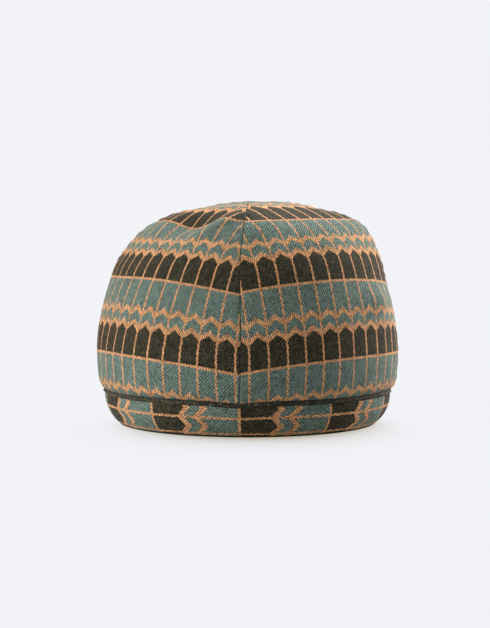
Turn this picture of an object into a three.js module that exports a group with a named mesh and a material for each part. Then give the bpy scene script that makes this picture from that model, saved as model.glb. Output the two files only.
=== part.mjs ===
// Soft four-panel cap in striped jacquard cloth: a domed crown over a narrow band, with a dark piping between.
// Millimetres, +Z up, the front seam at -Y. The cap stands on its rim at z = 0, round the Z axis.
import * as THREE from "three";

const HALF_TURN = Math.PI;
const QUARTER_TURN = Math.PI / 2;
const toRadians = THREE.MathUtils.degToRad;
const smooth = THREE.MathUtils.smoothstep;

// Azimuth 0 is the front and grows towards the wearer's left hand, +X.
function atAzimuth(azimuth, r, z) {
  return new THREE.Vector3(r * Math.sin(azimuth), -r * Math.cos(azimuth), z);
}

// The signed turn from one azimuth to another, between minus and plus half a turn.
function turnBetween(from, to) {
  return THREE.MathUtils.euclideanModulo(to - from + HALF_TURN, 2 * HALF_TURN) - HALF_TURN;
}

function bell(distance, width) {
  return Math.exp(-((distance / width) ** 2));
}

// Cloth and seams
const crownCloth = 1.5;
const bandCloth = 2.0;
const facingCloth = 1.3;
const seamGap = 0.3;
const seamRollDepth = 0.9;
const seamPullDown = 1.2;
const seamPullWidth = 14;
const ringSegments = 64;

// Each crown seam pulls the piping line down a little where it crosses it.
function pullDownAt(azimuth, r) {
  const nearestSeam = Math.round(azimuth / QUARTER_TURN) * QUARTER_TURN;
  return seamPullDown * bell(turnBetween(nearestSeam, azimuth) * r, seamPullWidth);
}

// Crown, outer face of the cloth from the piping up to the crossing of the seams.
const crownSections = [
  { r: 95.6, z: 23.3 },
  { r: 98.8, z: 28 },
  { r: 100.0, z: 36 },
  { r: 100.6, z: 48 },
  { r: 99.7, z: 60 },
  { r: 98.0, z: 72 },
  { r: 95.5, z: 84 },
  { r: 92.3, z: 96 },
  { r: 88.9, z: 106 },
  { r: 83.8, z: 115 },
  { r: 79.2, z: 122 },
  { r: 73.4, z: 129 },
  { r: 63.8, z: 135.4 },
  { r: 51.8, z: 140.3 },
  { r: 38.9, z: 143.5 },
  { r: 24.5, z: 145.8 },
  { r: 10, z: 146.8 },
  { r: 0, z: 146.9 },
];
const crownProfile = new THREE.SplineCurve(crownSections.map(({ r, z }) => new THREE.Vector2(r, z)));
const crownLength = crownProfile.getLength();

// Dents and folds of the empty crown: where each one lies, how far it stands out (minus is a dent), its spread, and
// its slant in degrees.
const crownFolds = [
  { name: "dent on the left shoulder", azimuth: -37, up: 122, out: -4.2, across: 18, along: 8, slant: 0 },
  { name: "slack below the dent", azimuth: -38, up: 111, out: -2.0, across: 16, along: 9, slant: 0 },
  { name: "crease beside the dent", azimuth: -14, up: 119, out: 2.6, across: 17, along: 6, slant: 43 },
  { name: "swell left of the dent", azimuth: -58, up: 128, out: 1.5, across: 14, along: 12, slant: 0 },
  { name: "swell behind the dent", azimuth: -30, up: 144, out: 1.3, across: 16, along: 8, slant: 0 },
  { name: "pucker beside the right seam", azimuth: 64, up: 61, out: 3.6, across: 14, along: 10, slant: 0 },
  { name: "fold behind the left seam", azimuth: -99, up: 90, out: 1.8, across: 15, along: 9, slant: 0 },
  { name: "hollow left of the crossing", azimuth: -80, up: 157, out: -1.1, across: 13, along: 11, slant: 0 },
  { name: "hollow right of the crossing", azimuth: 85, up: 143, out: -1.1, across: 16, along: 10, slant: 0 },
  { name: "swell on the right shoulder", azimuth: 95, up: 106, out: 1.5, across: 18, along: 15, slant: 0 },
  { name: "slack at the back right", azimuth: 142, up: 108, out: -2.6, across: 26, along: 15, slant: 0 },
  { name: "slack at the back left", azimuth: -150, up: 96, out: -1.6, across: 30, along: 17, slant: 0 },
];

// The crown leans and tilts slightly to one side from half height up.
const leanStartsAt = 85;
const leanFullAt = 140;
const leanSideways = 2.0;
const leanTilt = 0.03;

// Each panel bends one way more than the other, so the crown is round below and squarer, with hips along its
// seams, towards the top.
const squareStartsAt = 60;
const squareFullAt = 147;
const squareMost = 0.16;
const squareGrowth = 4;
const hipSharpness = 1.3;

function squareness(azimuth, z) {
  const height = THREE.MathUtils.clamp((z - squareStartsAt) / (squareFullAt - squareStartsAt), 0, 1);
  const middle = Math.abs(Math.sin(2 * azimuth)) ** hipSharpness;
  return 1 - squareMost * height ** squareGrowth * middle;
}

const foldCentre = new THREE.Vector2(0, 0);

function crownPoint(azimuth, up, depth) {
  const at = THREE.MathUtils.clamp(up / crownLength, 0, 1);
  const face = crownProfile.getPointAt(at);
  const along = crownProfile.getTangentAt(at);
  const outward = new THREE.Vector2(along.y, -along.x);
  let out = -depth;
  for (const fold of crownFolds) {
    const sideways = turnBetween(toRadians(fold.azimuth), azimuth) * face.x;
    const place = new THREE.Vector2(sideways, up - fold.up).rotateAround(foldCentre, -toRadians(fold.slant));
    out += fold.out * bell(place.x, fold.across) * bell(place.y, fold.along);
  }
  const r = face.x * squareness(azimuth, face.y) + outward.x * out;
  const fade = 1 - smooth(up, 0, 30);
  const z = face.y + outward.y * out - pullDownAt(azimuth, face.x) * fade;
  const point = atAzimuth(azimuth, r, z);
  const lean = smooth(face.y, leanStartsAt, leanFullAt);
  point.z += leanTilt * point.x * lean;
  point.x += leanSideways * lean;
  return point;
}

function solidFrom(name, colour, points, triangles) {
  const geometry = new THREE.BufferGeometry();
  geometry.setAttribute("position", new THREE.Float32BufferAttribute(points.flatMap((p) => p.toArray()), 3));
  geometry.setIndex(triangles);
  geometry.computeVertexNormals();
  const material = new THREE.MeshStandardMaterial({ color: colour, roughness: 0.95 });
  const mesh = new THREE.Mesh(geometry, material);
  mesh.name = name;
  return mesh;
}

// Crown panels: four shaped gores, each a closed shell of cloth, sewn edge to edge with the edges rolled in.
const panelRows = 20;
const seamEdge = [1, 0.965];
const panelInner = 7;
const panelColumns = [
  ...seamEdge.map((f) => -f),
  ...Array.from({ length: 2 * panelInner + 1 }, (_, i) => (i - panelInner) / (panelInner + 1)),
  ...seamEdge.toReversed(),
];
const tipRadius = seamGap / Math.SQRT2;

function crownPanel(name, colour, middleAzimuth) {
  const columns = panelColumns.length;
  const top = crownLength - tipRadius;
  const points = [];
  for (const depth of [0, crownCloth]) {
    for (let row = 0; row < panelRows; row++) {
      const up = (top * row) / panelRows;
      const face = crownProfile.getPointAt(up / crownLength);
      const along = crownProfile.getTangentAt(up / crownLength);
      const r = face.x - depth * along.y;
      const halfAngle = QUARTER_TURN / 2 - Math.asin(seamGap / 2 / r);
      for (const f of panelColumns) {
        const rolledIn = depth === 0 && Math.abs(f) === 1 ? seamRollDepth : depth;
        points.push(crownPoint(middleAzimuth + f * halfAngle, up, rolledIn));
      }
    }
    const tip = crownPoint(middleAzimuth, top, 0);
    points.push(tip.setZ(tip.z - depth));
  }
  const layer = panelRows * columns + 1;
  const outer = (row, column) => (row === panelRows ? layer - 1 : row * columns + column);
  const inner = (row, column) => layer + outer(row, column);
  const triangles = [];
  const quad = (a, b, c, d) => {
    if (a !== b) triangles.push(a, b, c);
    if (c !== d) triangles.push(a, c, d);
  };
  for (let row = 0; row < panelRows; row++) {
    for (let column = 0; column + 1 < columns; column++) {
      const next = column + 1;
      quad(outer(row, column), outer(row, next), outer(row + 1, next), outer(row + 1, column));
      quad(inner(row, next), inner(row, column), inner(row + 1, column), inner(row + 1, next));
    }
    const last = columns - 1;
    quad(inner(row, 0), outer(row, 0), outer(row + 1, 0), inner(row + 1, 0));
    quad(outer(row, last), inner(row, last), inner(row + 1, last), outer(row + 1, last));
  }
  for (let column = 0; column + 1 < columns; column++) {
    quad(inner(0, column), inner(0, column + 1), outer(0, column + 1), outer(0, column));
  }
  return solidFrom(name, colour, points, triangles);
}

const panels = [
  { name: "crown_panel_front_left", middle: -45 },
  { name: "crown_panel_front_right", middle: 45 },
  { name: "crown_panel_back_right", middle: 135 },
  { name: "crown_panel_back_left", middle: -135 },
];

// A ring of cloth whose section goes up its outer face and down its inner one.
function ring(name, colour, section) {
  const points = [];
  for (let turn = 0; turn < ringSegments; turn++) {
    const azimuth = (2 * HALF_TURN * turn) / ringSegments;
    for (const { r, z, pulled } of section) {
      points.push(atAzimuth(azimuth, r, z - pulled * pullDownAt(azimuth, r)));
    }
  }
  const sides = section.length;
  const index = (turn, side) => (turn % ringSegments) * sides + (side % sides);
  const triangles = [];
  for (let turn = 0; turn < ringSegments; turn++) {
    for (let side = 0; side < sides; side++) {
      const corner = index(turn, side);
      const across = index(turn + 1, side + 1);
      triangles.push(corner, index(turn + 1, side), across);
      triangles.push(corner, across, index(turn, side + 1));
    }
  }
  return solidFrom(name, colour, points, triangles);
}

// Piping: a covered cord in the seam between the crown and the band.
const pipingRadius = 1.05;
const pipingPathRadius = 94.9;
const pipingHeight = 22.1;
const pipingSides = 6;

const pipingSection = Array.from({ length: pipingSides }, (_, side) => {
  const angle = (2 * HALF_TURN * (side + 0.5)) / pipingSides;
  const r = pipingPathRadius + pipingRadius * Math.cos(angle);
  return { r, z: pipingHeight + pipingRadius * Math.sin(angle), pulled: 1 };
});

// Band: outer and inner face stations from the turned-under lower edge up to the piping.
const bandTop = 20.7;
const bandFace = [
  { r: 86.7, z: 1.0, thick: 0.5 },
  { r: 87.6, z: 1.9, thick: 1.0 },
  { r: 89.9, z: 4.4, thick: 1.6 },
  { r: 92.7, z: 9.0, thick: bandCloth },
  { r: 94.7, z: 14.5, thick: bandCloth },
  { r: 95.2, z: bandTop, thick: bandCloth },
];

// Inner band: a dark facing. Its flat lower edge is what the cap stands on.
const facingFace = [
  { r: 85.9, z: 0, thick: facingCloth },
  { r: 85.8, z: 1.6, thick: facingCloth },
  { r: 87.2, z: 4.4, thick: facingCloth },
  { r: 90.1, z: 9.4, thick: facingCloth },
  { r: 92.2, z: 15, thick: facingCloth },
  { r: 92.8, z: 19.4, thick: facingCloth },
];

// Closes a face into a section by setting each station's thickness inwards; both ends stay level.
function wallSection(face) {
  const topZ = face.at(-1).z;
  const outer = face.map(({ r, z }) => ({ r, z, pulled: z / topZ }));
  const inner = face.map(({ r, z, thick }, i) => {
    if (i === 0 || i === face.length - 1) return { r: r - thick, z, pulled: z / topZ };
    const along = new THREE.Vector2(face[i + 1].r - face[i - 1].r, face[i + 1].z - face[i - 1].z).normalize();
    return { r: r - thick * along.y, z: z + thick * along.x, pulled: z / topZ };
  });
  return [...outer, ...inner.toReversed()];
}

const jacquardTeal = "#58756c";
const pipingDark = "#2b2a24";
const facingDark = "#24231f";

const group = new THREE.Group();
for (const { name, middle } of panels) group.add(crownPanel(name, jacquardTeal, toRadians(middle)));
group.add(ring("crown_piping", pipingDark, pipingSection));
group.add(ring("hat_band", jacquardTeal, wallSection(bandFace)));
group.add(ring("inner_band", facingDark, wallSection(facingFace)));

export default group;
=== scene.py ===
import math
from collections import namedtuple

import bpy
import numpy as np
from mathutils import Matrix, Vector, noise


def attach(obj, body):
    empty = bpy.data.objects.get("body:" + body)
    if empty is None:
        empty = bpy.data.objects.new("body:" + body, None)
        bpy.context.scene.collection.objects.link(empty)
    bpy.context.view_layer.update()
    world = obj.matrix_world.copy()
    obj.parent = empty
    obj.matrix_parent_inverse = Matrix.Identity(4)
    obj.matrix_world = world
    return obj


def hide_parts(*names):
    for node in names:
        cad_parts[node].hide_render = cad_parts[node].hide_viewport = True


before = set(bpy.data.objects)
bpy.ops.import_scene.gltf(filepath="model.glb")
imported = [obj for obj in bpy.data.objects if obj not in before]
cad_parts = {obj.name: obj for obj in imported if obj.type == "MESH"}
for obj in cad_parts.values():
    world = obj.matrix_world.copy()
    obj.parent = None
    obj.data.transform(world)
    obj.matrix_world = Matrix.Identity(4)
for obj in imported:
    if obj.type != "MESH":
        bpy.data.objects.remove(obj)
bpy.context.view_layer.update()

# Crown panels
# Four shaped gores of striped jacquard, each one layer of cloth about 1 mm thick. They are sewn edge to edge,
# with the edges turned in and pressed open inside, and meet in a point at the top of the crown.
MM = 0.001
QUARTER = math.pi / 2
CLOTH_THICKNESS = 0.9
SEAM_GAP = 0.01
SPAN_STEPS = 24

Section = namedtuple("Section", "radius height")
crown_turned_in = [
    Section(92.5, 19.8),
    Section(92.6, 21.2),
    Section(93.5, 22.6),
    Section(94.6, 23.45),
]
crown_sections = [
    Section(95.7, 23.5),
    Section(98.7, 28),
    Section(100.0, 36),
    Section(100.6, 48),
    Section(99.7, 60),
    Section(98.0, 72),
    Section(95.5, 84),
    Section(92.3, 96),
    Section(88.9, 106),
    Section(83.8, 115),
    Section(79.2, 122),
    Section(73.4, 129),
    Section(63.8, 135.4),
    Section(51.8, 140.3),
    Section(38.9, 143.5),
    Section(24.5, 145.8),
    Section(10, 146.8),
    Section(0, 146.9),
]


def smooth_line(stations):
    """A smooth line through the stations, in even steps between each two."""
    knots = np.array([stations[0], *stations, stations[-1]], float)
    share = np.linspace(0, 1, SPAN_STEPS, endpoint=False)[:, None]
    spans = []
    for before, start, end, after in zip(knots, knots[1:], knots[2:], knots[3:]):
        squared = 2 * before - 5 * start + 4 * end - after
        cubed = 3 * start - before - 3 * end + after
        spans.append(start + 0.5 * ((end - before) * share + squared * share**2 + cubed * share**3))
    return np.vstack([*spans, knots[-1:]])


def lengths_along(line):
    """How far along the line each of its points lies."""
    return np.concatenate([[0], np.cumsum(np.linalg.norm(np.diff(line, axis=0), axis=1))])


# The section from the piping to the top, and how far up the cloth from the piping each of its points lies.
crown_line = smooth_line(crown_turned_in + crown_sections)
crown_up = lengths_along(crown_line)
crown_up -= crown_up[SPAN_STEPS * len(crown_turned_in)]
crown_slope = np.gradient(crown_line, crown_up, axis=0)
crown_slope /= np.linalg.norm(crown_slope, axis=1)[:, None]


def along_crown(up, values):
    """The value at each place up the crown."""
    return np.interp(up, crown_up, values)


def bell(distance, width):
    """One at the middle, falling smoothly to nothing over about twice the width."""
    return np.exp(-((distance / width) ** 2))


def ramp(value, low, high):
    """Nothing up to low, one from high on, and smooth between them."""
    share = np.clip((value - low) / (high - low), 0, 1)
    return share * share * (3 - 2 * share)


def turn_between(start, end):
    """The turn from one azimuth to another, the short way round."""
    return (end - start + math.pi) % (2 * math.pi) - math.pi


# Folds and dents of the empty crown: the azimuth of each, how far up the cloth it lies, how far it stands
# out, its two widths, and how its long side slants. Angles are in degrees, the rest in mm.
Fold = namedtuple("Fold", "azimuth up out across along slant")
crown_folds = [
    Fold(-37, 123, -4.7, 17, 8, 0),  # dent on the left shoulder
    Fold(-38, 111, -2.0, 16, 9, 0),  # slack below the dent
    Fold(-14, 119, 3.3, 17, 6, 43),  # crease that runs down from the top beside the dent
    Fold(-58, 128, 1.5, 14, 12, 0),  # swell left of the dent
    Fold(-30, 144, 1.3, 16, 8, 0),  # swell behind the dent
    Fold(64, 61, 3.6, 14, 10, 0),  # pucker beside the right seam
    Fold(-99, 90, 1.8, 15, 9, 0),  # fold behind the left seam
    Fold(-80, 157, -1.1, 13, 11, 0),  # hollow left of the crossing
    Fold(85, 143, -1.1, 16, 10, 0),  # hollow right of the crossing
    Fold(95, 106, 1.5, 18, 15, 0),  # swell on the right shoulder
    Fold(142, 108, -2.6, 26, 15, 0),  # slack at the back right
    Fold(-150, 96, -1.6, 30, 17, 0),  # slack at the back left
]

# The dip of the piping line at each crown seam, and what brings the noise to about -1 to 1.
PULL_DOWN = 1.2
PULL_DOWN_WIDTH = 14
RUMPLE_GAIN = 1.6


def nearest_seam(azimuth):
    return np.round(azimuth / QUARTER) * QUARTER


def pull_down(azimuth, radius):
    """How far each crown seam pulls the piping line down where it crosses it."""
    from_seam = turn_between(nearest_seam(azimuth), azimuth) * radius
    return PULL_DOWN * bell(from_seam, PULL_DOWN_WIDTH)


def rumple(points, size, seed):
    """Smooth noise over the points, between about -1 and 1."""
    places = np.asarray(points).reshape(-1, 3) / size + seed
    values = [noise.noise(Vector(place)) for place in places]
    return np.array(values).reshape(np.shape(points)[:-1]) * RUMPLE_GAIN


def round_points(azimuth, radius, height):
    """Points at a radius and height round the hat."""
    return np.stack([radius * np.sin(azimuth), -radius * np.cos(azimuth), height], axis=-1)


# Small unevenness of the cloth, in mm: broad swells, fine rumples, the puckers along each seam and the
# gathers above the piping. Waves are in radians a mm, and wander is how far the fine rumples bend them.
SWELL = 0.5
SWELL_SIZE = 34
FINE_RUMPLE = 0.16
FINE_RUMPLE_SIZE = 14
PUCKER = 0.28
PUCKER_WIDTH = 5.5
PUCKER_WAVE = 0.78
PUCKER_WANDER = 2.5
GATHER = 0.42
GATHER_HEIGHT = 8
GATHER_WAVE = 0.56
GATHER_WANDER = 2.2

# The crown grows squarer toward the top, between the four seams, and the empty top leans to one side.
SQUARE_FROM_HEIGHT = 60
SQUARE_RISE = 87
SQUARE_SHARE = 0.16
SQUARE_BLUNTNESS = 1.3
LEAN_LOW = 85
LEAN_HIGH = 140
LEAN_SIDEWAYS = 2.0
LEAN_TILT = 0.03


def crown_face(azimuth, up, depth):
    """Points of the crown, in mm: depth is how far they lie under the face of the cloth."""
    radius = along_crown(up, crown_line[:, 0])
    height = along_crown(up, crown_line[:, 1])
    outward_level = along_crown(up, crown_slope[:, 1])
    outward_upright = -along_crown(up, crown_slope[:, 0])
    out = np.zeros_like(azimuth)
    for fold in crown_folds:
        sideways = turn_between(math.radians(fold.azimuth), azimuth) * radius
        upwards = up - fold.up
        cosine = math.cos(math.radians(fold.slant))
        sine = math.sin(math.radians(fold.slant))
        spread_across = bell(sideways * cosine + upwards * sine, fold.across)
        spread_along = bell(upwards * cosine - sideways * sine, fold.along)
        out += fold.out * spread_across * spread_along
    seam = nearest_seam(azimuth)
    from_seam = np.abs(turn_between(seam, azimuth)) * radius
    round_place = round_points(azimuth, radius, height)
    rumples = rumple(round_place, FINE_RUMPLE_SIZE, 3.1)
    out += SWELL * rumple(round_place, SWELL_SIZE, 0.7) * ramp(up, 4, 30)
    out += FINE_RUMPLE * rumples * ramp(up, 2, 14)
    puckers = np.sin(up * PUCKER_WAVE + 3 * seam + PUCKER_WANDER * rumples)
    out += PUCKER * bell(from_seam, PUCKER_WIDTH) * puckers
    gathers = np.sin(radius * azimuth * GATHER_WAVE + GATHER_WANDER * rumples)
    out += GATHER * bell(up, GATHER_HEIGHT) * gathers * ramp(up, 0, 2)
    out -= depth
    height_share = np.clip((height - SQUARE_FROM_HEIGHT) / SQUARE_RISE, 0, 1)
    between_seams = np.abs(np.sin(2 * azimuth)) ** SQUARE_BLUNTNESS
    squareness = 1 - SQUARE_SHARE * height_share**4 * between_seams
    face_radius = radius * squareness + outward_level * out
    face_height = height + outward_upright * out - pull_down(azimuth, radius) * (1 - ramp(up, 0, 30))
    points = round_points(azimuth, face_radius, face_height)
    lean = ramp(height, LEAN_LOW, LEAN_HIGH)
    points[..., 2] += LEAN_TILT * points[..., 0] * lean
    points[..., 0] += LEAN_SIDEWAYS * lean
    return points


def cloth_mesh(name, points, faces, places, inside, materials):
    """A mesh in metres. places holds each face corner's place on the cloth, inside marks the reverse side."""
    mesh = bpy.data.meshes.new(name)
    mesh.from_pydata((points * MM).tolist(), [], faces.tolist())
    mesh.uv_layers.new(name="Cloth").uv.foreach_set("vector", places.astype(np.float32).ravel())
    mesh.polygons.foreach_set("material_index", inside.astype(np.int32))
    for material in materials:
        mesh.materials.append(material)
    mesh.shade_smooth()
    mesh.update()
    piece = bpy.data.objects.new(name, mesh)
    bpy.context.collection.objects.link(piece)
    return piece


# The stripe motif, in cells across and repeats up the cloth. From each level tan line up come a row of dark
# cells with gabled tops, a tan zigzag, teal chevrons, a second tan zigzag and a row of plain teal cells.
CELL = 12.0
REPEAT = 50.4
THREADS_ACROSS = 26
THREADS_UP = 96


def feed(tree, node, values):
    """Feeds a node's inputs, each given by its name or number, from sockets or with plain values."""
    for label, value in values.items():
        if isinstance(value, bpy.types.NodeSocket):
            tree.links.new(value, node.inputs[label])
        else:
            node.inputs[label].default_value = value
    return node


def added(tree, kind, values=(), **settings):
    """A new node in the tree, with its settings and what feeds its inputs."""
    node = tree.nodes.new(kind)
    for label, value in settings.items():
        setattr(node, label, value)
    return feed(tree, node, dict(values))


def maths_in(tree):
    """Gives a short way to add a maths node to the tree."""

    def maths(operation, *values):
        return added(tree, "ShaderNodeMath", enumerate(values), operation=operation).outputs[0]

    return maths


def node_group(name, inputs, outputs):
    """A shader node group, and its inputs and outputs as seen from inside it."""
    tree = bpy.data.node_groups.new(name, "ShaderNodeTree")
    for label, kind, value in inputs:
        socket = tree.interface.new_socket(label, in_out="INPUT", socket_type=kind)
        if value is not None:
            socket.default_value = value
    for label, kind in outputs:
        tree.interface.new_socket(label, in_out="OUTPUT", socket_type=kind)
    return tree, tree.nodes.new("NodeGroupInput").outputs, tree.nodes.new("NodeGroupOutput").inputs


FLOAT, COLOUR, VECTOR = "NodeSocketFloat", "NodeSocketColor", "NodeSocketVector"

stripe_group, given, made = node_group(
    "Stripe motif",
    [
        ("Cloth place", VECTOR, None),
        ("Threads across", FLOAT, THREADS_ACROSS),
        ("Threads up", FLOAT, THREADS_UP),
    ],
    [("Tan", FLOAT), ("Dark", FLOAT)],
)
calc = maths_in(stripe_group)
split = added(stripe_group, "ShaderNodeSeparateXYZ", {0: given["Cloth place"]})
across_thread = calc("ROUND", calc("MULTIPLY", split.outputs[0], given["Threads across"]))
up_thread = calc("ROUND", calc("MULTIPLY", split.outputs[1], given["Threads up"]))
in_cell = calc("FRACT", calc("DIVIDE", across_thread, given["Threads across"]))
in_repeat = calc("FRACT", calc("DIVIDE", up_thread, given["Threads up"]))
from_line = calc("SUBTRACT", 0.5, calc("ABSOLUTE", calc("SUBTRACT", in_cell, 0.5)))
rise = calc("MULTIPLY", from_line, 2.0)
from_level = calc("SUBTRACT", 0.5, calc("ABSOLUTE", calc("SUBTRACT", in_repeat, 0.5)))

# The slanted edges of the motif: how far up the repeat each starts at an upright tan line, and how far it
# climbs to the middle of the cell. A level line's half width is in repeats, and an upright one's in cells.
Slope = namedtuple("Slope", "start climb")
GABLE_TOP = Slope(0.318, 0.09)
LOWER_ZIGZAG_TOP = Slope(0.388, 0.092)
UPPER_ZIGZAG_FOOT = Slope(0.502, 0.096)
UPPER_ZIGZAG_TOP = Slope(0.57, 0.098)
LEVEL_LINE_HALF = 0.018
UPRIGHT_LINE_HALF = 0.06


def rising(slope):
    return calc("MULTIPLY_ADD", rise, slope.climb, slope.start)


def between(low, high):
    return calc("MULTIPLY", calc("GREATER_THAN", in_repeat, low), calc("LESS_THAN", in_repeat, high))


gable = rising(GABLE_TOP)
lower_zigzag = between(gable, rising(LOWER_ZIGZAG_TOP))
upper_zigzag = between(rising(UPPER_ZIGZAG_FOOT), rising(UPPER_ZIGZAG_TOP))
zigzags = calc("MAXIMUM", lower_zigzag, upper_zigzag)
level_line = calc("LESS_THAN", from_level, LEVEL_LINE_HALF)
upright_line = calc("LESS_THAN", from_line, UPRIGHT_LINE_HALF)
tan = calc("MAXIMUM", calc("MAXIMUM", level_line, upright_line), zigzags)
stripe_group.links.new(tan, made["Tan"])
dark = calc("MULTIPLY", calc("LESS_THAN", in_repeat, gable), calc("SUBTRACT", 1.0, tan))
stripe_group.links.new(dark, made["Dark"])

# The weave: a twill whose upright threads run over three level threads and under one, each a step above the
# last. Where the cloth shows tan, the threads are bound at scattered places instead, which looks beaded.
TWILL_THREADS = 4.0
TWILL_ON_TOP = 2.5
TAN_THREADS = 8.0
TAN_STEP = -3.0
TAN_UNDER = 1.5
UPRIGHT_ROUND = 0.8
UPRIGHT_BASE = 0.2
LEVEL_ROUND = 0.7
twill_group, given, made = node_group(
    "Twill weave",
    [
        ("Cloth place", VECTOR, None),
        ("Threads across", FLOAT, THREADS_ACROSS),
        ("Threads up", FLOAT, THREADS_UP),
    ],
    [
        ("Upright thread on top", FLOAT),
        ("Tan thread on top", FLOAT),
        ("Height", FLOAT),
        ("Thread shade", FLOAT),
    ],
)
calc = maths_in(twill_group)
split = added(twill_group, "ShaderNodeSeparateXYZ", {0: given["Cloth place"]})
across = calc("MULTIPLY_ADD", split.outputs[0], given["Threads across"], 0.5)
up = calc("MULTIPLY_ADD", split.outputs[1], given["Threads up"], 0.5)
column = calc("FLOOR", across)
row = calc("FLOOR", up)
step = calc("FLOORED_MODULO", calc("SUBTRACT", column, row), TWILL_THREADS)
on_top = calc("LESS_THAN", step, TWILL_ON_TOP)
scattered = calc("FLOORED_MODULO", calc("MULTIPLY_ADD", column, TAN_STEP, row), TAN_THREADS)
tan_on_top = calc("GREATER_THAN", scattered, TAN_UNDER)


def roundness(position):
    """How high the round of a thread stands at a place across it."""
    off_middle = calc("MULTIPLY_ADD", calc("FRACT", position), 2.0, -1.0)
    return calc("SUBTRACT", 1.0, calc("MULTIPLY", off_middle, off_middle))


upright_height = calc("MULTIPLY_ADD", roundness(across), UPRIGHT_ROUND, UPRIGHT_BASE)
level_height = calc("MULTIPLY", roundness(up), LEVEL_ROUND)
level_on_top = calc("SUBTRACT", 1.0, on_top)
height = calc("ADD", calc("MULTIPLY", on_top, upright_height), calc("MULTIPLY", level_on_top, level_height))

# How many threads across and up each patch of one shade takes, and how much it counts: single floats of the
# upright thread, small slubs, and thick and thin places along the level thread.
Uneven = namedtuple("Uneven", "across up weight")
uneven_patches = [
    Uneven(1.0, 3.0, 0.52),
    Uneven(3.0, 2.0, 0.3),
    Uneven(7.0, 1.0, 0.18),
]
thread_shade = 0.0
for patch in uneven_patches:
    patch_across = calc("FLOOR", calc("DIVIDE", across, patch.across))
    patch_up = calc("FLOOR", calc("DIVIDE", up, patch.up))
    number = added(twill_group, "ShaderNodeCombineXYZ", {0: patch_across, 1: patch_up}).outputs[0]
    chance = added(twill_group, "ShaderNodeTexWhiteNoise", {"Vector": number}, noise_dimensions="2D")
    thread_shade = calc("MULTIPLY_ADD", chance.outputs["Value"], patch.weight, thread_shade)
twill_group.links.new(on_top, made["Upright thread on top"])
twill_group.links.new(tan_on_top, made["Tan thread on top"])
twill_group.links.new(height, made["Height"])
twill_group.links.new(thread_shade, made["Thread shade"])

# Soft patches of lighter and darker cloth, as dye and handling leave them.
cloudy_group, given, made = node_group(
    "Cloudy shade",
    [("Place", VECTOR, None), ("Patches per metre", FLOAT, 45.0), ("Amount", FLOAT, 0.16)],
    [("Shade", FLOAT)],
)
calc = maths_in(cloudy_group)
patches = added(
    cloudy_group,
    "ShaderNodeTexNoise",
    {"Vector": given["Place"], "Scale": given["Patches per metre"], "Detail": 3},
)
off_middle = calc("SUBTRACT", patches.outputs["Fac"], 0.5)
cloudy_group.links.new(calc("MULTIPLY_ADD", off_middle, given["Amount"], 1.0), made["Shade"])


def srgb(*channels):
    """A colour from its red, green and blue as they look, 0 to 255."""
    shown = [channel / 255 for channel in channels]
    linear = [((value + 0.055) / 1.055) ** 2.4 if value > 0.04 else value / 12.92 for value in shown]
    return (*linear, 1.0)


def mixed(tree, factor, first, second, kind="MIX"):
    """A colour mix. The factor and colours are sockets or values."""
    values = {0: factor, 6: first, 7: second}
    return added(tree, "ShaderNodeMix", values, data_type="RGBA", blend_type=kind).outputs[2]


def shaded(tree, colour, shade):
    """The colour made lighter or darker by a shade, which is 1 where it stays as it is."""
    grey = added(tree, "ShaderNodeCombineColor", {0: shade, 1: shade, 2: shade})
    return mixed(tree, 1.0, colour, grey.outputs[0], "MULTIPLY")


def placed(tree, group, values):
    """The outputs of a node group that is put in the tree."""
    return added(tree, "ShaderNodeGroup", values, node_tree=group).outputs


ThreadColours = namedtuple(
    "ThreadColours", "teal_top teal_under tan_top tan_under dark_top dark_under dark_fleck"
)
face_colours = ThreadColours(
    teal_top=srgb(111, 129, 118),
    teal_under=srgb(14, 24, 25),
    tan_top=srgb(213, 158, 110),
    tan_under=srgb(60, 36, 25),
    dark_top=srgb(60, 56, 43),
    dark_under=srgb(18, 17, 14),
    dark_fleck=srgb(70, 66, 50),
)

# Threads whose shade is above FLECK_ABOVE show as flecks in the dark cells. The darkest thread keeps
# SHADE_LEAST of its colour, and the lightest SHADE_SPREAD more.
FLECK_ABOVE = 0.62
SHADE_LEAST = 0.32
SHADE_SPREAD = 1.36


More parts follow.
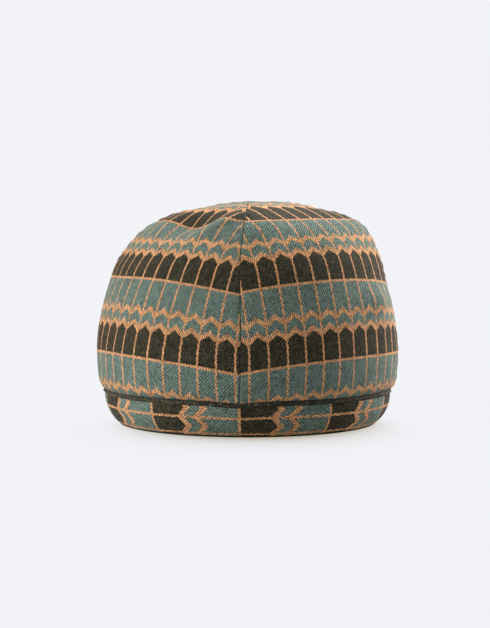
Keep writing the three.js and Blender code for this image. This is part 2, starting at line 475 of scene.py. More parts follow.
def jacquard_material(name, colours, threads_across=THREADS_ACROSS, threads_up=THREADS_UP):
    """Striped cloth: each colour is a top thread over an under thread, shaded thread by thread."""
    material = bpy.data.materials.new(name)
    material.use_nodes = True
    tree = material.node_tree
    calc = maths_in(tree)
    on_cloth = {
        "Cloth place": added(tree, "ShaderNodeUVMap", uv_map="Cloth").outputs["UV"],
        "Threads across": threads_across,
        "Threads up": threads_up,
    }
    stripe = placed(tree, stripe_group, on_cloth)
    twill = placed(tree, twill_group, on_cloth)
    on_top = twill["Upright thread on top"]
    teal = mixed(tree, on_top, colours.teal_under, colours.teal_top)
    tan = mixed(tree, twill["Tan thread on top"], colours.tan_under, colours.tan_top)
    fleck = calc("GREATER_THAN", twill["Thread shade"], FLECK_ABOVE)
    dark_top = mixed(tree, fleck, colours.dark_top, colours.dark_fleck)
    dark = mixed(tree, on_top, colours.dark_under, dark_top)
    cloth = mixed(tree, stripe["Tan"], mixed(tree, stripe["Dark"], teal, dark), tan)
    cloudy = placed(tree, cloudy_group, {"Place": added(tree, "ShaderNodeTexCoord").outputs["Object"]})
    thread_by_thread = calc("MULTIPLY_ADD", twill["Thread shade"], SHADE_SPREAD, SHADE_LEAST)
    cloth = shaded(tree, cloth, calc("MULTIPLY", thread_by_thread, cloudy["Shade"]))
    relief = {"Strength": 0.6, "Distance": 0.0003, "Height": twill["Height"]}
    surface = {
        "Base Color": cloth,
        "Roughness": 0.92,
        "Specular IOR Level": 0.05,
        "Sheen Weight": 0.05,
        "Sheen Roughness": 0.5,
        "Normal": added(tree, "ShaderNodeBump", relief).outputs["Normal"],
    }
    feed(tree, tree.nodes["Principled BSDF"], surface)
    return material


crown_jacquard = jacquard_material("Panel jacquard", face_colours)
reverse_colours = ThreadColours(
    teal_top=srgb(112, 104, 84),
    teal_under=srgb(74, 88, 82),
    tan_top=srgb(96, 112, 102),
    tan_under=srgb(120, 88, 60),
    dark_top=srgb(150, 118, 86),
    dark_under=srgb(92, 84, 66),
    dark_fleck=srgb(160, 130, 98),
)
reverse_jacquard = jacquard_material("Jacquard reverse", reverse_colours)

# The edges of a panel are folded over a small round and lie open inside, up to the seam allowance.
# They narrow toward the crossing, where the four panels meet.
FOLD_RADIUS = 0.95
ALLOWANCE = 7.0
TAPER_WIDTH = 12
WIDEST_EDGE_SINE = 0.7
TOP_GAP = 0.25
LEAST_RADIUS = 0.25
PANEL_ROWS = 132
PANEL_COLUMNS = 85
fold_turns = np.radians([180, 150, 120, 90, 60, 30])
flap_reach = ALLOWANCE * np.array([1, 0.6, 0.2])
beside_folds = [0.0015, 0.003, 0.007, 0.991, 0.997, 0.9985]
main_spread = np.unique(np.concatenate([np.linspace(0, 1, PANEL_COLUMNS), beside_folds]))

# How the cloth lies on each panel, by height: how far up a level line starts, the share of the panel's width
# where it peaks, how far it drops at the left and right seams, and how far the grain leans to the side.
# The sides of the flat gore run straight up to NARROWS_ABOVE and close in from there.
NARROWS_ABOVE = 30
Lay = namedtuple("Lay", "up start peak left right lean")
front_left_lay = [
    Lay(0, 27.3, -0.3, 3.0, 9.0, 0),
    Lay(27, 27.3, -0.3, 3.0, 9.0, 0),
    Lay(77, 26.8, -0.1, 1.0, 10.0, -9),
    Lay(92, 25.8, -0.1, 2.0, 7.7, -9.5),
    Lay(104, 25, 0, 0, 5.5, -6),
    Lay(124, 22.6, 0, -3, 2, -2),
    Lay(136, 18.2, 0, -1, 0, -5),
    Lay(148, 20.5, 0, 0, 0, -5),
]
front_right_lay = [
    Lay(0, 26.4, 0.2, 7.5, 1.0, 0),
    Lay(26, 26.4, 0.2, 7.5, 1.0, 0),
    Lay(75, 25.2, 0.0, 6.6, 7.0, 0),
    Lay(91, 25, 0, 5.9, 5.5, 0),
    Lay(104, 24.5, 0, 4.7, 3.7, 0),
    Lay(122, 21.6, 0, 1.5, 6, 0),
    Lay(141, 24, 0, 0, 0, 0),
    Lay(148, 26.5, 0, 0, 0, 0),
]
back_lay = [
    Lay(0, 26.5, 0, 6, 6, 0),
    Lay(90, 25.5, 0, 6, 6, 0),
    Lay(122, 22.5, 0, 3, 3, 0),
    Lay(148, 27.5, 0, 0, 0, 0),
]
Panel = namedtuple("Panel", "name node middle line_offset lay")
panels = [
    Panel("front_left_panel", "crown_panel_front_left", -45, 0.43, front_left_lay),
    Panel("front_right_panel", "crown_panel_front_right", 45, 0.0, front_right_lay),
    Panel("back_right_panel", "crown_panel_back_right", 135, 0.3, back_lay),
    Panel("back_left_panel", "crown_panel_back_left", -135, 0.7, back_lay),
]

# The front seam wanders a little on its way up: where it lies to the right of straight, in mm.
Drift = namedtuple("Drift", "up across")
front_seam_drift = [
    Drift(0, 0.5),
    Drift(10, 0.8),
    Drift(22, 1.6),
    Drift(34, 1.7),
    Drift(58, 1.2),
    Drift(84, 0.0),
    Drift(94, -0.8),
    Drift(110, 0.0),
]


def seam_drift(azimuth, up):
    """How far a point moves to the right with the front seam. It fades out toward the side seams."""
    ups, across = zip(*front_seam_drift)
    return np.interp(up, ups, across) * np.clip(1 - np.abs(azimuth) / QUARTER, 0, 1)


def panel_radius(ups):
    return np.maximum(along_crown(ups, crown_line[:, 0]), LEAST_RADIUS)


def edge_taper(ups):
    """The share of its full size that a turned-in edge keeps: less near the crossing."""
    return np.minimum(1, panel_radius(ups) * math.pi / 4 / TAPER_WIDTH)


def edge_turn(ups, reach):
    """The azimuth between a seam and a point that lies reach from it."""
    sine = (reach * edge_taper(ups) + SEAM_GAP / 2) / panel_radius(ups)
    return np.arcsin(np.clip(sine, 0, WIDEST_EDGE_SINE))


def turned_in_edge(round_radius):
    """How far each point of a turned-in edge lies from the seam, and how deep under the face."""
    reach = np.concatenate([flap_reach + FOLD_RADIUS, FOLD_RADIUS - round_radius * np.sin(fold_turns)])
    flap_depth = np.full(len(flap_reach), FOLD_RADIUS + round_radius)
    depth = np.concatenate([flap_depth, FOLD_RADIUS - round_radius * np.cos(fold_turns)])
    return reach, depth


def panel_layer(middle, ups, round_radius, main_depth):
    """One side of a panel's cloth, from the end of one turned-in edge to the end of the other."""
    reach, edge_depth = turned_in_edge(round_radius)
    left = edge_turn(ups, reach)
    main_start = edge_turn(ups, FOLD_RADIUS)
    main = main_start + (QUARTER - 2 * main_start) * main_spread
    azimuth = middle - QUARTER / 2 + np.hstack([left, main, QUARTER - left[:, ::-1]])
    azimuth = azimuth + seam_drift(azimuth, ups) / panel_radius(ups)
    depth = np.concatenate([edge_depth, np.full(len(main_spread), main_depth), edge_depth[::-1]])
    return crown_face(azimuth, np.broadcast_to(ups, azimuth.shape), np.broadcast_to(depth, azimuth.shape))


def panel_places(panel, ups):
    """Places on the flat cloth: the threads stay straight while the gore narrows over the top."""
    taper = edge_taper(ups)
    edge = np.concatenate([FOLD_RADIUS * fold_turns.max() + flap_reach, FOLD_RADIUS * fold_turns])
    half_width = panel_radius(np.maximum(ups, NARROWS_ABOVE)) * math.pi / 4 - FOLD_RADIUS * taper
    share = np.concatenate([-np.ones(len(edge)), 2 * main_spread - 1, np.ones(len(edge))])
    turned_in = np.concatenate([-edge, 0 * main_spread, edge[::-1]]) * taper
    lay = np.array(panel.lay)
    start, peak, left, right, lean = [np.interp(ups, lay[:, 0], column) for column in lay.T[1:]]
    across = half_width * share + turned_in + lean * (1 - share)
    across = across + seam_drift(math.radians(panel.middle) + share * QUARTER / 2, ups)
    drop_left = left * (np.maximum(peak - share, 0) / (1 + peak)) ** 2
    drop_right = right * (np.maximum(share - peak, 0) / (1 - peak)) ** 2
    cloth_up = ups - start + drop_left + drop_right
    return np.stack([across / CELL - panel.line_offset, cloth_up / REPEAT], axis=-1)


def two_sided_faces(rows, columns):
    """The faces of a sheet, of its reverse, and of the edges between them, and how many the sheet has."""
    row, column = np.indices((rows - 1, columns - 1)).reshape(2, -1)
    corner = row * columns + column
    sheet = np.stack([corner, corner + 1, corner + columns + 1, corner + columns], axis=1)
    under = rows * columns
    left = np.arange(rows - 1) * columns
    right = left + columns - 1
    bottom = np.arange(columns - 1)
    top = bottom + (rows - 1) * columns
    borders = [
        (left, left + columns),
        (right + columns, right),
        (bottom + 1, bottom),
        (top, top + 1),
    ]
    edges = [np.stack([start, end, end + under, start + under], axis=1) for start, end in borders]
    return np.vstack([sheet, sheet[:, ::-1] + under, *edges]), len(sheet)


def crown_panel(panel):
    """One gore: the face of the cloth, its turned-in edges and the reverse side, as a closed mesh."""
    ups = np.linspace(crown_up[0], crown_up[-1] - TOP_GAP, PANEL_ROWS)[:, None]
    middle = math.radians(panel.middle)
    face = panel_layer(middle, ups, FOLD_RADIUS, 0.0)
    reverse = panel_layer(middle, ups, FOLD_RADIUS - CLOTH_THICKNESS, CLOTH_THICKNESS)
    faces, sheet_count = two_sided_faces(*face.shape[:2])
    points = np.concatenate([face.reshape(-1, 3), reverse.reshape(-1, 3)])
    places = panel_places(panel, ups).reshape(-1, 2)
    places = np.concatenate([places, places])[faces.ravel()]
    inside = np.zeros(len(faces))
    inside[sheet_count : 2 * sheet_count] = 1
    piece = cloth_mesh(panel.name, points, faces, places, inside, [crown_jacquard, reverse_jacquard])
    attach(piece, "root")
    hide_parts(panel.node)


for panel in panels:
    crown_panel(panel)

# Piping
# A cord covered with a bias strip of dark cloth, sewn into the seam between the crown and the band.
# It lies in the groove under the crown's edge and dips with the seams.
PIPING_RADIUS = 1.25
PIPING_LINE_RADIUS = 95.0
PIPING_LINE_HEIGHT = 22.1
PIPING_STEPS = 2200
PIPING_PUCKER_DEPTH = 1.1

# Plain dark cloth: a fine twill that slants round the hat, with uneven yarn and a few light flecks.
TWILL_SLANT = 1.3
YARN_GRAINS_PER_METRE = 900
plain_group, given, made = node_group(
    "Plain twill",
    [
        ("Place", VECTOR, None),
        ("Ridge spacing", FLOAT, 0.0011),
        ("Light yarn", COLOUR, None),
        ("Dark yarn", COLOUR, None),
        ("Fleck", COLOUR, None),
        ("Fleck above", FLOAT, 0.7),
        ("Flecks per metre", FLOAT, 420.0),
    ],
    [("Colour", COLOUR), ("Height", FLOAT)],
)
calc = maths_in(plain_group)
split = added(plain_group, "ShaderNodeSeparateXYZ", {0: given["Place"]})
angle = calc("ARCTAN2", split.outputs[1], split.outputs[0])
round_way = calc("MULTIPLY", angle, PIPING_LINE_RADIUS * MM)
slant = calc("MULTIPLY_ADD", split.outputs[2], TWILL_SLANT, round_way)
ridge_turn = calc("DIVIDE", calc("MULTIPLY", slant, 2 * math.pi), given["Ridge spacing"])
ridges = calc("MULTIPLY_ADD", calc("SINE", ridge_turn), 0.5, 0.5)
grain = added(
    plain_group,
    "ShaderNodeTexNoise",
    {"Vector": given["Place"], "Scale": YARN_GRAINS_PER_METRE},
)
spots = added(
    plain_group,
    "ShaderNodeTexNoise",
    {"Vector": given["Place"], "Scale": given["Flecks per metre"], "Detail": 1},
)
yarn = calc("MULTIPLY", ridges, grain.outputs["Fac"])
body = mixed(plain_group, yarn, given["Dark yarn"], given["Light yarn"])
flecked = calc("GREATER_THAN", spots.outputs["Fac"], given["Fleck above"])
plain_group.links.new(mixed(plain_group, flecked, body, given["Fleck"]), made["Colour"])
plain_group.links.new(ridges, made["Height"])

PlainYarns = namedtuple("PlainYarns", "light dark fleck fleck_above ridge_spacing flecks_per_metre")


def plain_material(name, yarns):
    """Plain dark cloth from its yarns' colours, its twill's spacing in mm and its flecks."""
    material = bpy.data.materials.new(name)
    material.use_nodes = True
    tree = material.node_tree
    place = added(tree, "ShaderNodeTexCoord").outputs["Object"]
    woven = {
        "Place": place,
        "Ridge spacing": yarns.ridge_spacing * MM,
        "Light yarn": yarns.light,
        "Dark yarn": yarns.dark,
        "Fleck": yarns.fleck,
        "Fleck above": yarns.fleck_above,
        "Flecks per metre": yarns.flecks_per_metre,
    }
    twill = placed(tree, plain_group, woven)
    cloudy = placed(tree, cloudy_group, {"Place": place, "Patches per metre": 90.0, "Amount": 0.5})
    relief = {"Strength": 0.5, "Distance": 0.0003, "Height": twill["Height"]}
    surface = {
        "Base Color": shaded(tree, twill["Colour"], cloudy["Shade"]),
        "Roughness": 0.9,
        "Specular IOR Level": 0.2,
        "Sheen Weight": 0.1,
        "Normal": added(tree, "ShaderNodeBump", relief).outputs["Normal"],
    }
    feed(tree, tree.nodes["Principled BSDF"], surface)
    return material


piping_yarns = PlainYarns(
    light=srgb(73, 71, 55),
    dark=srgb(12, 13, 10),
    fleck=srgb(108, 99, 74),
    fleck_above=0.6,
    ridge_spacing=1.5,
    flecks_per_metre=950,
)
piping_cloth = plain_material("Piping cloth", piping_yarns)


def path_object(name, points, ways=None, closed=True):
    """A path as loose edges, for a tree of geometry nodes to build on. Stitches lie along ways."""
    mesh = bpy.data.meshes.new(name)
    count = len(points)
    edges = [(i, i + 1) for i in range(count - 1)]
    if closed:
        edges.append((count - 1, 0))
    mesh.from_pydata((points * MM).tolist(), edges, [])
    if ways is not None:
        stitch_way = mesh.attributes.new("stitch_way", "FLOAT_VECTOR", "POINT")
        stitch_way.data.foreach_set("vector", ways.astype(np.float32).ravel())
    piece = bpy.data.objects.new(name, mesh)
    bpy.context.collection.objects.link(piece)
    return piece


def geometry_tree(name, inputs):
    """A tree of geometry nodes, and its inputs and output as seen from inside it."""
    tree = bpy.data.node_groups.new(name, "GeometryNodeTree")
    tree.interface.new_socket("Geometry", in_out="INPUT", socket_type="NodeSocketGeometry")
    for label, kind in inputs:
        tree.interface.new_socket(label, in_out="INPUT", socket_type=kind)
    tree.interface.new_socket("Geometry", in_out="OUTPUT", socket_type="NodeSocketGeometry")
    return tree, tree.nodes.new("NodeGroupInput").outputs, tree.nodes.new("NodeGroupOutput").inputs


def end_tree(tree, geometry, material, made):
    """Ends a tree with smooth shading, real geometry in place of instances, and the material."""
    smooth = added(tree, "GeometryNodeSetShadeSmooth", {"Geometry": geometry}).outputs[0]
    real = added(tree, "GeometryNodeRealizeInstances", {"Geometry": smooth}).outputs[0]
    finish = added(tree, "GeometryNodeSetMaterial", {"Geometry": real, "Material": material})
    tree.links.new(finish.outputs[0], made["Geometry"])


def grown(name, path, tree, values):
    """Runs the tree on the path and keeps its result as a plain mesh piece."""
    modifier = path.modifiers.new("Growth", "NODES")
    modifier.node_group = tree
    for item in tree.interface.items_tree:
        if item.in_out == "INPUT" and item.name in values:
            modifier[item.identifier] = values[item.name]
    ready = path.evaluated_get(bpy.context.evaluated_depsgraph_get())
    mesh = bpy.data.meshes.new_from_object(ready)
    bpy.data.objects.remove(path)
    mesh.name = name
    piece = bpy.data.objects.new(name, mesh)
    bpy.context.collection.objects.link(piece)
    return piece


# A round cord along a path, its cloth uneven where the cover puckers.
cord_tree, given, made = geometry_tree(
    "Covered cord",
    [
        ("Cord radius", FLOAT),
        ("Cord sides", "NodeSocketInt"),
        ("Pucker depth", FLOAT),
        ("Puckers per metre", FLOAT),
        ("Cloth", "NodeSocketMaterial"),
    ],
)
as_curve = added(cord_tree, "GeometryNodeMeshToCurve", {"Mesh": given["Geometry"]})
section = added(
    cord_tree,
    "GeometryNodeCurvePrimitiveCircle",
    {"Radius": given["Cord radius"], "Resolution": given["Cord sides"]},
)
tube = added(
    cord_tree,
    "GeometryNodeCurveToMesh",
    {"Curve": as_curve.outputs["Curve"], "Profile Curve": section.outputs["Curve"]},
)
calc = maths_in(cord_tree)
puckers = added(cord_tree, "ShaderNodeTexNoise", {"Scale": given["Puckers per metre"]})
pucker = calc("MULTIPLY", calc("SUBTRACT", puckers.outputs["Fac"], 0.5), given["Pucker depth"])
outwards = added(cord_tree, "GeometryNodeInputNormal").outputs["Normal"]
offset = added(cord_tree, "ShaderNodeVectorMath", {0: outwards, "Scale": pucker}, operation="SCALE")
puckered = added(
    cord_tree,
    "GeometryNodeSetPosition",
    {"Geometry": tube.outputs["Mesh"], "Offset": offset.outputs["Vector"]},
)
end_tree(cord_tree, puckered.outputs["Geometry"], given["Cloth"], made)

# The cord rises and falls a little and wanders in and out, as its seam does.
PIPING_RISE = 0.1
PIPING_WANDER = 0.002
azimuth = np.linspace(-math.pi, math.pi, PIPING_STEPS, endpoint=False)
piping_place = round_points(azimuth, PIPING_LINE_RADIUS, np.full(PIPING_STEPS, PIPING_LINE_HEIGHT))
piping_place[:, 2] += PIPING_RISE * rumple(piping_place, 17, 5.3) - pull_down(azimuth, PIPING_LINE_RADIUS)
piping_place[:, :2] *= 1 + PIPING_WANDER * rumple(piping_place, 9, 8.1)[:, None]
piping = grown(
    "piping",
    path_object("piping_path", piping_place),
    cord_tree,
    {
        "Cord radius": PIPING_RADIUS * MM,
        "Cord sides": 14,
        "Pucker depth": PIPING_PUCKER_DEPTH * MM,
        "Puckers per metre": 420.0,
        "Cloth": piping_cloth,
    },
)
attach(piping, "root")
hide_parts("crown_piping")

# Band
# A strip of the same jacquard cut crosswise, so the motif lies on its side, doubled over at its lower edge.
# Its ends are joined at the back. The lower half leans in, because the empty hat rests on it.
band_outline = [
    Section(94.6, 20.95),
    Section(95.15, 20.4),
    Section(95.2, 18),
    Section(94.7, 14.5),
    Section(93.8, 11.5),
    Section(92.7, 9),
    Section(91.4, 6.5),
    Section(89.9, 4.4),
    Section(88.5, 2.8),
    Section(87.4, 1.75),
    Section(86.7, 1.15),
    Section(86.15, 1.1),
    Section(86.1, 1.7),
    Section(86.9, 3.1),
    Section(88.5, 5.4),
    Section(90.2, 8.2),
    Section(91.5, 11),
    Section(92.5, 14),
    Section(93.1, 17),
    Section(93.2, 20.2),
    Section(93.8, 20.9),
]
BAND_TURNS = 480
BAND_SIDES = 96
BAND_FACE_SHARE = 0.55

# The stripe on the band: how far down the face its middle tan line lies and how wide the cells above and
# below that line are, in mm, and where a repeat starts and how far round the hat it goes, in degrees.
BAND_LINE_DOWN = 7.2
BAND_CELL_ABOVE = 11.2
BAND_CELL_BELOW = 12.7
BAND_REPEAT_START = 0.2
BAND_REPEAT_TURN = 36.4
BAND_THREADS_ACROSS = 22
BAND_THREADS_UP = 100


def closed_outline(stations, count):
    """A smooth closed outline through the stations, evenly spaced from the first."""
    around = [*stations[-2:], *stations, *stations[:3]]
    line = smooth_line(around)[3 * SPAN_STEPS : -3 * SPAN_STEPS]
    along = lengths_along(line)
    even = np.linspace(0, along[-1], count, endpoint=False)
    return np.stack([np.interp(even, along, column) for column in line.T], axis=1), even


def cloth_ring(name, outline, down, face_share, materials, shape_of):
    """A closed ring of cloth. Its outline runs down the face, which is face_share of it, and up inside."""
    azimuth = np.linspace(-math.pi, math.pi, BAND_TURNS, endpoint=False)[:, None]
    points = shape_of(azimuth, outline[None, :, 0], outline[None, :, 1])
    sides = len(outline)
    turn, side = np.indices((BAND_TURNS, sides)).reshape(2, -1)
    corner_turns = np.stack([turn, turn, turn + 1, turn + 1], axis=1)
    corner_sides = np.stack([side, side + 1, side + 1, side], axis=1)
    faces = (corner_turns % BAND_TURNS) * sides + corner_sides % sides
    side_length = (down[-1] + down[1]) / sides
    places = band_place(corner_turns / BAND_TURNS * 360 - 180, corner_sides * side_length)
    inside = side > face_share * sides
    return cloth_mesh(name, points.reshape(-1, 3), faces, places.reshape(-1, 2), inside, materials)


def band_place(turn, down):
    """Places on the cloth. The cells under the middle tan line are a little wider than those over it."""
    from_line = down - BAND_LINE_DOWN
    cell = np.where(from_line < 0, BAND_CELL_ABOVE, BAND_CELL_BELOW)
    return np.stack([from_line / cell, (turn - BAND_REPEAT_START) / BAND_REPEAT_TURN], axis=-1)


# How the band gives: slow and quick waves, gathers under the piping, and the groove of the join at the back.
# The ground holds its lower edge, and the crown's seams pull its upper edge down.
BAND_WAVE = 0.3
BAND_QUICK_WAVE = 0.1
BAND_GATHER = 0.22
BAND_GATHERS = 52
JOIN_DEPTH = 0.9
JOIN_WIDTH = 0.8
JOIN_RADIUS = 94
HELD_BELOW = 1.5
FREE_ABOVE = 9
BAND_TOP = 20.7


def seam_drop(azimuth, radius, height):
    return pull_down(azimuth, radius) * np.clip(height / BAND_TOP, 0, 1)


def band_shape(azimuth, radius, height):
    height = height + 0 * azimuth
    place = round_points(azimuth, radius, height)
    wave = BAND_WAVE * rumple(place, 26, 2.4) + BAND_QUICK_WAVE * rumple(place, 9, 6.6)
    gathers = np.sin(azimuth * BAND_GATHERS + 3 * rumple(place, 20, 1.2)) * ramp(height, 12, 20)
    join = JOIN_DEPTH * bell(turn_between(math.pi, azimuth) * JOIN_RADIUS, JOIN_WIDTH)
    radius = radius + ramp(height, HELD_BELOW, FREE_ABOVE) * (wave + BAND_GATHER * gathers - join)
    return round_points(azimuth, radius, height - seam_drop(azimuth, radius, height))


band_jacquard = jacquard_material("Band jacquard", face_colours, BAND_THREADS_ACROSS, BAND_THREADS_UP)
outline, down = closed_outline(band_outline, BAND_SIDES)
band = cloth_ring("band", outline, down, BAND_FACE_SHARE, [band_jacquard, reverse_jacquard], band_shape)
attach(band, "root")
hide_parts("hat_band")

# Inner band
# A dark facing tape inside the band. Its lower edge stands just below the band's and shows as a thin dark
# line, and a row of stitches holds it along each edge.
facing_outline = [
    Section(92.6, 19.3),
    Section(92.75, 18.9),
    Section(92.2, 15),
    Section(91.2, 11.8),
    Section(90.1, 9.4),
    Section(88.6, 6.7),
    Section(87.2, 4.4),
    Section(86.15, 2.6),
    Section(85.9, 1.4),
    Section(85.95, 0.35),
    Section(85.6, 0.0),
    Section(85.0, 0.0),
    Section(84.6, 0.35),
    Section(84.7, 2.2),
    Section(85.9, 4.9),
    Section(88.8, 9.9),
    Section(90.9, 15.2),
    Section(91.45, 18.9),
    Section(91.7, 19.3),
]
FACING_SIDES = 72
FACING_WAVE = 0.1
facing_yarns = PlainYarns(
    light=srgb(52, 50, 44),
    dark=srgb(24, 23, 21),
    fleck=srgb(60, 56, 48),
    fleck_above=0.8,
    ridge_spacing=1.1,
    flecks_per_metre=420,
)
facing_cloth = plain_material("Facing cloth", facing_yarns)


def facing_shape(azimuth, radius, height):
    height = height + 0 * azimuth
    wave = FACING_WAVE * rumple(round_points(azimuth, radius, height), 24, 4.4)
    radius = radius + wave * ramp(height, HELD_BELOW, FREE_ABOVE)
    return round_points(azimuth, radius, height - seam_drop(azimuth, radius, height))


outline, down = closed_outline(facing_outline, FACING_SIDES)
facing = cloth_ring("inner_band_facing", outline, down, 1.0, [facing_cloth], facing_shape)
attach(facing, "root")
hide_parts("inner_band")

# Dark sewing thread, its shade uneven along the twist.
THREAD_TWISTS_PER_METRE = 1500
thread_material = bpy.data.materials.new("Sewing thread")
thread_material.use_nodes = True
tree = thread_material.node_tree
thread_place = added(tree, "ShaderNodeTexCoord").outputs["Object"]
twist = added(tree, "ShaderNodeTexNoise", {"Vector": thread_place, "Scale": THREAD_TWISTS_PER_METRE})
thread_colour = mixed(tree, twist.outputs["Fac"], srgb(20, 19, 17), srgb(50, 48, 42))
feed(tree, tree.nodes["Principled BSDF"], {"Base Color": thread_colour, "Roughness": 0.6})

# Stitches of slightly uneven size, spaced evenly along a path.
STITCH_SIDES = 6
STITCH_LEAST = 0.88
STITCH_MOST = 1.08
stitch_tree, given, made = geometry_tree(
    "Stitch row",
    [
        ("Stitch pitch", FLOAT),
        ("Stitch length", FLOAT),
        ("Thread radius", FLOAT),
        ("Seed", "NodeSocketInt"),
        ("Thread", "NodeSocketMaterial"),
    ],
)
as_curve = added(stitch_tree, "GeometryNodeMeshToCurve", {"Mesh": given["Geometry"]})
spaced = added(
    stitch_tree,
    "GeometryNodeResampleCurve",
    {"Curve": as_curve.outputs["Curve"], "Length": given["Stitch pitch"]},
    mode="LENGTH",
)
stitch = added(
    stitch_tree,
    "GeometryNodeMeshCylinder",
    {"Vertices": STITCH_SIDES, "Radius": given["Thread radius"], "Depth": given["Stitch length"]},
)
way = added(
    stitch_tree,
    "GeometryNodeInputNamedAttribute",
    {"Name": "stitch_way"},
    data_type="FLOAT_VECTOR",
)
aim = added(
    stitch_tree,
    "FunctionNodeAlignRotationToVector",
    {"Vector": way.outputs["Attribute"]},
    axis="Z",
)
uneven = added(
    stitch_tree,
    "FunctionNodeRandomValue",
    {2: STITCH_LEAST, 3: STITCH_MOST, "Seed": given["Seed"]},
)
laid = added(
    stitch_tree,
    "GeometryNodeInstanceOnPoints",
    {
        "Points": spaced.outputs["Curve"],
        "Instance": stitch.outputs["Mesh"],
        "Rotation": aim.outputs["Rotation"],
        "Scale": uneven.outputs[1],
    },
)
end_tree(stitch_tree, laid.outputs["Instances"], given["Thread"], made)


def stitch_row(name, place, closed, values):
    """A row of stitches along the points of place, each lying along the row."""
    if closed:
        ways = np.roll(place, -1, axis=0) - np.roll(place, 1, axis=0)
    else:
        ways = np.gradient(place, axis=0)
    ways /= np.linalg.norm(ways, axis=1)[:, None]
    stitches = grown(name, path_object(name + "_path", place, ways, closed), stitch_tree, values)
    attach(stitches, "root")


STITCH_PATH_STEPS = 720
StitchRow = namedtuple("StitchRow", "name radius height")
facing_rows = [
    StitchRow("facing_top_stitches", 91.45, 17.3),
    StitchRow("facing_lower_stitches", 85.05, 3.1),
]
facing_stitch = {
    "Stitch pitch": 3.4 * MM,
    "Stitch length": 2.3 * MM,
    "Thread radius": 0.2 * MM,
    "Seed": 4,
    "Thread": thread_material,
}
azimuth = np.linspace(-math.pi, math.pi, STITCH_PATH_STEPS, endpoint=False)
level = np.ones(STITCH_PATH_STEPS)
for row in facing_rows:
    place = facing_shape(azimuth, row.radius * level, row.height * level)
    stitch_row(row.name, place, True, facing_stitch)

# Crown seam stitches
# The dark thread that closes the four crown seams. It shows in short dashes down in each seam, between the
# folded edges of the two panels, from the piping up to the crossing.
SEAM_STITCH_DEPTH = 0.48
SEAM_STITCHES_FROM = 3
SEAM_STITCHES_END = 5
SEAM_PATH_STEPS = 260
Seam = namedtuple("Seam", "name azimuth")
seams = [
    Seam("front_seam_stitches", 0),
    Seam("right_seam_stitches", 90),
    Seam("back_seam_stitches", 180),
    Seam("left_seam_stitches", -90),
]
seam_stitch = {
    "Stitch pitch": 2.9 * MM,
    "Stitch length": 2.65 * MM,
    "Thread radius": 0.3 * MM,
    "Seed": 9,
    "Thread": thread_material,
}
seam_ups = np.linspace(SEAM_STITCHES_FROM, crown_up[-1] - SEAM_STITCHES_END, SEAM_PATH_STEPS)
for seam in seams:
    azimuth = np.full(SEAM_PATH_STEPS, math.radians(seam.azimuth))
    azimuth += seam_drift(azimuth, seam_ups) / panel_radius(seam_ups)
    place = crown_face(azimuth, seam_ups, np.full(SEAM_PATH_STEPS, SEAM_STITCH_DEPTH))
    stitch_row(seam.name, place, False, seam_stitch)

# Setting
# A plain pale ground that glows a little, so it stays pale up to the hat, under broad soft studio light that
# comes mostly from the left and from behind on the right. The camera stands in front, 14 cm above the ground.
PALE = srgb(242, 243, 247)
SHADED_PALE = srgb(160, 148, 109)
GLOW = 0.977
GLOW_ON_HAT = 0.78

# A painted shadow darkens the glow beside the rim, most of all in front, and fades out over a few mm. Lengths
# are in metres.
RIM_RADIUS = 0.086
RIM_SHADE = 0.78
SHADE_FADE = 0.005
SHADE_FADE_IN_FRONT = 0.0145
FRONT_WAY = (0.2, -0.98, 0)
FRONT_STARTS = -0.2
FRONT_SPAN = 1.14
bpy.ops.mesh.primitive_plane_add(size=60)
ground = bpy.context.object
ground.name = "ground"
ground_material = bpy.data.materials.new("Pale ground")
ground_material.use_nodes = True
tree = ground_material.node_tree
calc = maths_in(tree)
on_ground = added(tree, "ShaderNodeTexCoord").outputs["Object"]
from_middle = added(tree, "ShaderNodeVectorMath", {0: on_ground}, operation="LENGTH").outputs["Value"]
toward_front = added(tree, "ShaderNodeVectorMath", {0: on_ground, 1: FRONT_WAY}, operation="DOT_PRODUCT")
frontness = calc("DIVIDE", toward_front.outputs["Value"], from_middle)
front_share = calc("MAXIMUM", calc("DIVIDE", calc("SUBTRACT", frontness, FRONT_STARTS), FRONT_SPAN), 0.0)
fade = calc("MULTIPLY_ADD", calc("MULTIPLY", front_share, front_share), SHADE_FADE_IN_FRONT, SHADE_FADE)
from_rim = calc("MAXIMUM", calc("SUBTRACT", from_middle, RIM_RADIUS), 0.0)
near_rim = calc("EXPONENT", calc("DIVIDE", from_rim, calc("MULTIPLY", fade, -1.0)))
# The painted shadow: how far the ground's glow turns to SHADED_PALE beside the rim.
painted_rim_shadow = calc("MULTIPLY", calc("MULTIPLY", front_share, RIM_SHADE), near_rim)
seen = added(tree, "ShaderNodeLightPath").outputs["Is Camera Ray"]
ground_surface = {
    "Base Color": (0.01, 0.01, 0.01, 1),
    "Roughness": 1.0,
    "Specular IOR Level": 0.0,
    "Emission Color": mixed(tree, painted_rim_shadow, PALE, SHADED_PALE),
    "Emission Strength": calc("MULTIPLY_ADD", seen, GLOW - GLOW_ON_HAT, GLOW_ON_HAT),
}
feed(tree, tree.nodes["Principled BSDF"], ground_surface)
ground.data.materials.append(ground_material)


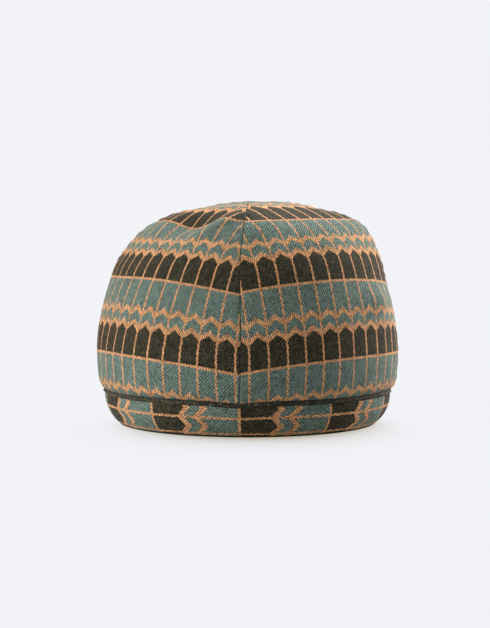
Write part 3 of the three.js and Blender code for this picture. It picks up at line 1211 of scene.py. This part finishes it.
def direction(azimuth, height):
    """The way toward a light, from its azimuth and its height over the ground in degrees."""
    turn = math.radians(azimuth)
    lift = math.radians(height)
    return (math.sin(turn) * math.cos(lift), -math.cos(turn) * math.cos(lift), math.sin(lift))


SKY_LIGHT = 0.12
Softbox = namedtuple("Softbox", "azimuth height strength sharpness")
softboxes = [
    Softbox(-77, 22, 7.4, 8.0),
    Softbox(140, 34, 14.4, 8.0),
]
sky = bpy.data.worlds.new("Studio")
sky.use_nodes = True
tree = sky.node_tree
calc = maths_in(tree)
in_sky = added(tree, "ShaderNodeTexCoord").outputs["Generated"]
light = SKY_LIGHT
for box in softboxes:
    ways = {0: in_sky, 1: direction(box.azimuth, box.height)}
    toward = added(tree, "ShaderNodeVectorMath", ways, operation="DOT_PRODUCT").outputs["Value"]
    lobe = calc("POWER", calc("MAXIMUM", toward, 0.0), box.sharpness)
    light = calc("MULTIPLY_ADD", lobe, box.strength, light)
seen = added(tree, "ShaderNodeLightPath").outputs["Is Camera Ray"]
studio_light = feed(tree, tree.nodes["Background"], {"Strength": light, "Color": (1, 1, 1, 1)})
backdrop = added(tree, "ShaderNodeBackground", {"Color": PALE})
either = added(
    tree,
    "ShaderNodeMixShader",
    {0: seen, 1: studio_light.outputs[0], 2: backdrop.outputs[0]},
)
feed(tree, tree.nodes["World Output"], {"Surface": either.outputs[0]})
bpy.context.scene.world = sky

CAMERA_AZIMUTH = math.radians(3.3)
CAMERA_DISTANCE = 1.13
CAMERA_HEIGHT = 0.1405
camera_data = bpy.data.cameras.new("camera")
camera_data.sensor_fit = "VERTICAL"
camera_data.sensor_height = 36
camera_data.sensor_width = 36
camera_data.lens = 96.9
camera = bpy.data.objects.new("camera", camera_data)
camera.location = (
    CAMERA_DISTANCE * math.sin(CAMERA_AZIMUTH),
    -CAMERA_DISTANCE * math.cos(CAMERA_AZIMUTH),
    CAMERA_HEIGHT,
)
aim_at = Vector((-0.0017, 0, 0.0717))
camera.rotation_mode = "QUATERNION"
camera.rotation_quaternion = (camera.location - aim_at).to_track_quat("Z", "Y")
bpy.context.collection.objects.link(camera)
bpy.context.scene.camera = camera
bpy.context.scene.view_settings.view_transform = "Standard"
